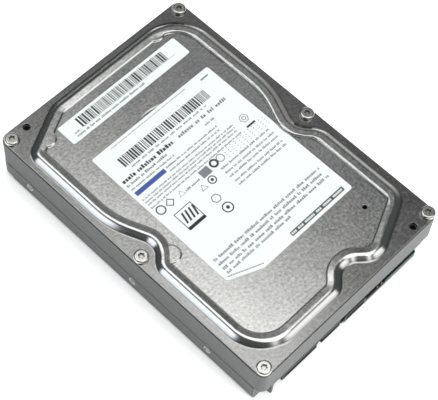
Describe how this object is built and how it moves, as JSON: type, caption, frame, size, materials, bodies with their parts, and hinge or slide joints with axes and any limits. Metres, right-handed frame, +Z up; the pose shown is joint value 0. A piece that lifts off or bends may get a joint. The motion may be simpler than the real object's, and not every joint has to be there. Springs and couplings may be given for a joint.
{
  "type": "hard disk drive",
  "caption": "Desktop hard disk drive with a cast body, stamped steel cover, printed labels, spinning platters, a swinging head arm and a board with an edge connector.",
  "frame": {"origin": "middle of the bounding box at the underside", "axes": "+X across the width, +Y along the length away from the connector end, +Z up to the cover and labels"},
  "size_m": [0.1016, 0.147, 0.0261],
  "materials": {
    "painted_casting": "dark grey coat on a die cast, satin",
    "cover_steel": "brushed, mottled grain",
    "screw_steel": "bright plated",
    "black_rubber": "matt",
    "label_film": "smooth white printed film",
    "white_filter": "felted filter media",
    "board_laminate": "solder mask, semi gloss",
    "dark_foam": "thin foam sheet",
    "black_plastic": "moulded, satin",
    "gold_contact": "gold flash",
    "chip_epoxy": "moulded epoxy",
    "nickel_can": "drawn can, satin",
    "ferrite": "ferrite block",
    "capacitor_body": "moulded",
    "passive_ceramic": "ceramic chips",
    "polyimide": "amber film over copper",
    "bearing_steel": "ground",
    "lamination_steel": "stacked sheets",
    "copper_wire": "enamelled copper winding",
    "yoke_nickel": "nickel plated steel",
    "magnet_nickel": "nickel plated magnet",
    "ivory_plastic": "low friction moulding",
    "bare_aluminium": "machined",
    "platter_mirror": "polished disc",
    "blade_steel": "rolled spring steel",
    "slider_ceramic": "ceramic"
  },
  "bodies": {
    "enclosure": {"base_casting": "painted_casting", "cover_gasket": "black_rubber", "top_cover": "cover_steel", "cover_screws": "screw_steel", "pivot_screw": "screw_steel", "main_label": "label_film", "serial_label": "label_film", "breather_filter": "dark_foam", "circuit_board": "board_laminate", "board_insulator": "dark_foam", "board_screws": "screw_steel", "sata_housing": "black_plastic", "sata_contacts": "gold_contact", "jumper_header": "black_plastic", "jumper_pins": "gold_contact", "controller_chip": "chip_epoxy", "memory_chip": "chip_epoxy", "motor_driver_chip": "chip_epoxy", "quartz_crystal": "nickel_can", "power_inductors": "ferrite", "filter_capacitors": "capacitor_body", "board_passives": "passive_ceramic", "motor_flex": "polyimide", "bearing_sleeve": "bearing_steel", "stator_core": "lamination_steel", "stator_coils": "copper_wire", "lower_yoke": "yoke_nickel", "upper_yoke": "yoke_nickel", "lower_magnet": "magnet_nickel", "upper_magnet": "magnet_nickel", "yoke_posts": "screw_steel", "crash_stops": "black_rubber", "pivot_shaft": "bearing_steel", "latch_pin": "bearing_steel", "parking_ramp": "ivory_plastic", "head_connector": "black_plastic", "flex_bracket": "bare_aluminium", "internal_screws": "screw_steel", "flex_cable": "polyimide", "recirculation_filter": "white_filter", "air_separator": "bare_aluminium", "desiccant_pack": "white_filter"},
    "spindle": {"spindle_hub": "bare_aluminium", "spindle_shaft": "bearing_steel", "rotor_magnet": "magnet_nickel", "lower_platter": "platter_mirror", "upper_platter": "platter_mirror", "platter_spacer": "bare_aluminium", "disc_clamp": "bare_aluminium", "clamp_screws": "screw_steel"},
    "actuator": {"arm_block": "bare_aluminium", "pivot_cartridge": "bearing_steel", "coil_frame": "black_plastic", "voice_coil": "copper_wire", "head_suspensions": "blade_steel", "head_sliders": "slider_ceramic", "arm_flex": "polyimide"},
    "latch": {"latch_lever": "ivory_plastic"}
  },
  "joints": [
    {"name": "spindle_spin", "type": "hinge", "parent": "enclosure", "child": "spindle", "pos_m": [0, 0.0232, 0], "axis": [0, 0, 1], "continuous": true},
    {"name": "actuator_swing", "type": "hinge", "parent": "enclosure", "child": "actuator", "pos_m": [-0.01, -0.031, 0], "axis": [0, 0, 1], "range_deg": [0, 36]},
    {"name": "latch_swing", "type": "hinge", "parent": "enclosure", "child": "latch", "pos_m": [-0.03167, -0.05975, 0], "axis": [0, 0, -1], "range_deg": [0, 20]}
  ]
}
